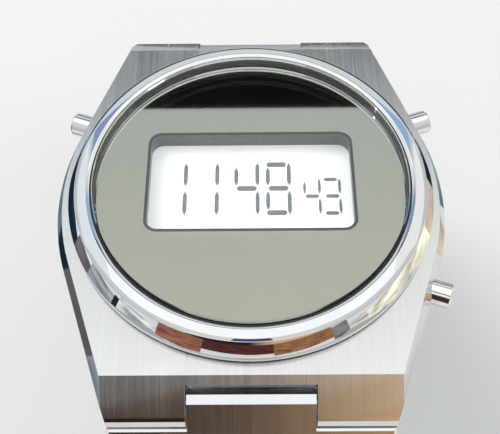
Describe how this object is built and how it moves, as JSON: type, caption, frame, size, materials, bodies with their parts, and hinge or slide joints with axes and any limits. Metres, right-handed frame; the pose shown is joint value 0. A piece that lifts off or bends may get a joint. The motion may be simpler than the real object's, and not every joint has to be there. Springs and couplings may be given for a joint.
{
  "type": "digital wristwatch",
  "caption": "Digital wristwatch with a barrel-shaped steel case, round bezel, windowed display, push-buttons and a tapering link bracelet with a butterfly clasp.",
  "frame": {"origin": "centre of the case back's outer face, where the watch meets the wrist", "axes": "+X towards 3 o'clock, +Y towards 12 o'clock along the bracelet, +Z out through the crystal"},
  "size_m": [0.0402, 0.0634, 0.0515],
  "materials": {
    "brushed_steel": "fine straight brushing with polished bevels",
    "polished_steel": "mirror polished",
    "crystal": "flat, clear, polished",
    "black_rubber": "matte",
    "dial_plate": "satin grey metal plating",
    "display_glass": "pale grey liquid-crystal panel",
    "display_segments": "grey liquid-crystal segments",
    "light_panel": "milky, smooth",
    "holder_plastic": "matte moulding",
    "connector_rubber": "matte",
    "board": "green lacquer",
    "chip_plastic": "matte black epoxy",
    "battery_can": "satin nickel",
    "contact_metal": "plated spring metal",
    "alarm_brass": "satin brass",
    "tube_brass": "turned"
  },
  "bodies": {
    "case": {"case_middle": "brushed_steel", "bezel": "polished_steel", "crystal": "crystal", "crystal_gasket": "black_rubber", "dial": "dial_plate", "lcd_panel": "display_glass", "lcd_segments": "display_segments", "light_panel": "light_panel", "movement_holder": "holder_plastic", "connector_strips": "connector_rubber", "circuit_board": "board", "chip": "chip_plastic", "quartz_can": "polished_steel", "battery": "battery_can", "battery_clip": "contact_metal", "contact_leaves": "contact_metal", "alarm_disc": "alarm_brass", "case_back": "brushed_steel", "back_gasket": "black_rubber", "back_screws": "polished_steel", "pusher_tubes": "tube_brass", "pusher_seals": "black_rubber", "pusher_spring_10": "polished_steel", "pusher_spring_2": "polished_steel", "pusher_spring_4": "polished_steel"},
    "pusher_10": {"pusher_10": "polished_steel", "pusher_clip_10": "polished_steel"},
    "pusher_2": {"pusher_2": "polished_steel", "pusher_clip_2": "polished_steel"},
    "pusher_4": {"pusher_4": "polished_steel", "pusher_clip_4": "polished_steel"},
    "upper_link_1": {"upper_link_1": "brushed_steel", "upper_pins_1": "polished_steel"},
    "upper_link_2": {"upper_link_2": "brushed_steel"},
    "upper_link_3": {"upper_link_3": "brushed_steel", "upper_pins_3": "polished_steel"},
    "upper_link_4": {"upper_link_4": "brushed_steel"},
    "upper_link_5": {"upper_link_5": "brushed_steel", "upper_pins_5": "polished_steel"},
    "upper_link_6": {"upper_link_6": "brushed_steel"},
    "upper_link_7": {"upper_link_7": "brushed_steel", "upper_pins_7": "polished_steel"},
    "lower_link_1": {"lower_link_1": "brushed_steel", "lower_pins_1": "polished_steel"},
    "lower_link_2": {"lower_link_2": "brushed_steel"},
    "lower_link_3": {"lower_link_3": "brushed_steel", "lower_pins_3": "polished_steel"},
    "lower_link_4": {"lower_link_4": "brushed_steel"},
    "lower_link_5": {"lower_link_5": "brushed_steel", "lower_pins_5": "polished_steel"},
    "lower_link_6": {"lower_link_6": "brushed_steel"},
    "lower_link_7": {"lower_link_7": "brushed_steel", "lower_pins_7": "polished_steel"},
    "upper_arm": {"upper_arm": "polished_steel"},
    "clasp_plate": {"clasp_plate": "polished_steel", "plate_pins": "polished_steel"},
    "lower_arm": {"lower_arm": "polished_steel"},
    "clasp_button_left": {"clasp_button_left": "polished_steel"},
    "clasp_button_right": {"clasp_button_right": "polished_steel"}
  },
  "joints": [
    {"name": "pusher_10_press", "type": "slide", "parent": "case", "child": "pusher_10", "axis": [0.9438, -0.3305, 0], "range_m": [0, 0.0008], "stiffness_N_per_m": 900, "springref_m": -0.0006, "deforming": ["pusher_spring_10"]},
    {"name": "pusher_2_press", "type": "slide", "parent": "case", "child": "pusher_2", "axis": [-0.9438, -0.3305, 0], "range_m": [0, 0.0008], "stiffness_N_per_m": 900, "springref_m": -0.0006, "deforming": ["pusher_spring_2"]},
    {"name": "pusher_4_press", "type": "slide", "parent": "case", "child": "pusher_4", "axis": [-0.9438, 0.3305, 0], "range_m": [0, 0.0008], "stiffness_N_per_m": 900, "springref_m": -0.0006, "deforming": ["pusher_spring_4"]},
    {"name": "upper_hinge_1", "type": "hinge", "parent": "case", "child": "upper_link_1", "pos_m": [0, 0.0213, 0.0047], "axis": [-1, 0, 0], "range_deg": [0, 30]},
    {"name": "upper_hinge_2", "type": "hinge", "parent": "upper_link_1", "child": "upper_link_2", "pos_m": [0, 0.02709, -0.00219], "axis": [-1, 0, 0], "range_deg": [-1.55, 0]},
    {"name": "upper_hinge_3", "type": "hinge", "parent": "upper_link_2", "child": "upper_link_3", "pos_m": [0, 0.03004, -0.01069], "axis": [-1, 0, 0], "range_deg": [-28.82, 0]},
    {"name": "upper_hinge_4", "type": "hinge", "parent": "upper_link_3", "child": "upper_link_4", "pos_m": [0, 0.02978, -0.01969], "axis": [-1, 0, 0], "range_deg": [-28.82, 0]},
    {"name": "upper_hinge_5", "type": "hinge", "parent": "upper_link_4", "child": "upper_link_5", "pos_m": [0, 0.02634, -0.028], "axis": [-1, 0, 0], "range_deg": [-28.82, 0]},
    {"name": "upper_hinge_6", "type": "hinge", "parent": "upper_link_5", "child": "upper_link_6", "pos_m": [0, 0.02016, -0.03455], "axis": [-1, 0, 0], "range_deg": [-3.05, 0]},
    {"name": "upper_hinge_7", "type": "hinge", "parent": "upper_link_6", "child": "upper_link_7", "pos_m": [0, 0.01206, -0.03847], "axis": [-1, 0, 0], "range_deg": [0, 24.05]},
    {"name": "lower_hinge_1", "type": "hinge", "parent": "case", "child": "lower_link_1", "pos_m": [0, -0.0213, 0.0047], "axis": [1, 0, 0], "range_deg": [0, 30]},
    {"name": "lower_hinge_2", "type": "hinge", "parent": "lower_link_1", "child": "lower_link_2", "pos_m": [0, -0.02709, -0.00219], "axis": [1, 0, 0], "range_deg": [-1.55, 0]},
    {"name": "lower_hinge_3", "type": "hinge", "parent": "lower_link_2", "child": "lower_link_3", "pos_m": [0, -0.03004, -0.01069], "axis": [1, 0, 0], "range_deg": [-28.82, 0]},
    {"name": "lower_hinge_4", "type": "hinge", "parent": "lower_link_3", "child": "lower_link_4", "pos_m": [0, -0.02978, -0.01969], "axis": [1, 0, 0], "range_deg": [-28.82, 0]},
    {"name": "lower_hinge_5", "type": "hinge", "parent": "lower_link_4", "child": "lower_link_5", "pos_m": [0, -0.02634, -0.028], "axis": [1, 0, 0], "range_deg": [-28.82, 0]},
    {"name": "lower_hinge_6", "type": "hinge", "parent": "lower_link_5", "child": "lower_link_6", "pos_m": [0, -0.02016, -0.03455], "axis": [1, 0, 0], "range_deg": [-3.05, 0]},
    {"name": "lower_hinge_7", "type": "hinge", "parent": "lower_link_6", "child": "lower_link_7", "pos_m": [0, -0.01206, -0.03847], "axis": [1, 0, 0], "range_deg": [0, 24.05]},
    {"name": "upper_arm_hinge", "type": "hinge", "parent": "upper_link_7", "child": "upper_arm", "pos_m": [0, 0.0032, -0.03864], "axis": [1, 0, 0], "range_deg": [0, 53.23]},
    {"name": "upper_plate_hinge", "type": "hinge", "parent": "upper_arm", "child": "clasp_plate", "pos_m": [0, 0.01326, -0.03495], "axis": [-1, 0, 0], "range_deg": [0, 90.05]},
    {"name": "lower_plate_hinge", "type": "hinge", "parent": "clasp_plate", "child": "lower_arm", "pos_m": [0, -0.01326, -0.03495], "axis": [-1, 0, 0], "range_deg": [0, 90.05]},
    {"name": "clasp_button_left_press", "type": "slide", "parent": "clasp_plate", "child": "clasp_button_left", "axis": [1, 0, 0], "range_m": [0, 0.0006], "stiffness_N_per_m": 700, "springref_m": -0.0005},
    {"name": "clasp_button_right_press", "type": "slide", "parent": "clasp_plate", "child": "clasp_button_right", "axis": [-1, 0, 0], "range_m": [0, 0.0006], "stiffness_N_per_m": 700, "springref_m": -0.0005}
  ],
  "couplings": [
    {"joint": "upper_hinge_2", "follows": "upper_hinge_1", "ratio": -0.05},
    {"joint": "upper_hinge_3", "follows": "upper_hinge_1", "ratio": -0.9591},
    {"joint": "upper_hinge_4", "follows": "upper_hinge_1", "ratio": -0.9591},
    {"joint": "upper_hinge_5", "follows": "upper_hinge_1", "ratio": -0.9591},
    {"joint": "upper_hinge_6", "follows": "upper_hinge_1", "ratio": -0.1},
    {"joint": "upper_hinge_7", "follows": "upper_hinge_1", "ratio": 0.8},
    {"joint": "lower_hinge_1", "follows": "upper_hinge_1", "ratio": 1},
    {"joint": "lower_hinge_2", "follows": "upper_hinge_1", "ratio": -0.05},
    {"joint": "lower_hinge_3", "follows": "upper_hinge_1", "ratio": -0.9591},
    {"joint": "lower_hinge_4", "follows": "upper_hinge_1", "ratio": -0.9591},
    {"joint": "lower_hinge_5", "follows": "upper_hinge_1", "ratio": -0.9591},
    {"joint": "lower_hinge_6", "follows": "upper_hinge_1", "ratio": -0.1},
    {"joint": "lower_hinge_7", "follows": "upper_hinge_1", "ratio": 0.8},
    {"joint": "upper_arm_hinge", "follows": "upper_hinge_1", "ratio": 1.7727},
    {"joint": "upper_plate_hinge", "follows": "upper_hinge_1", "ratio": 3},
    {"joint": "lower_plate_hinge", "follows": "upper_hinge_1", "ratio": 3}
  ]
}
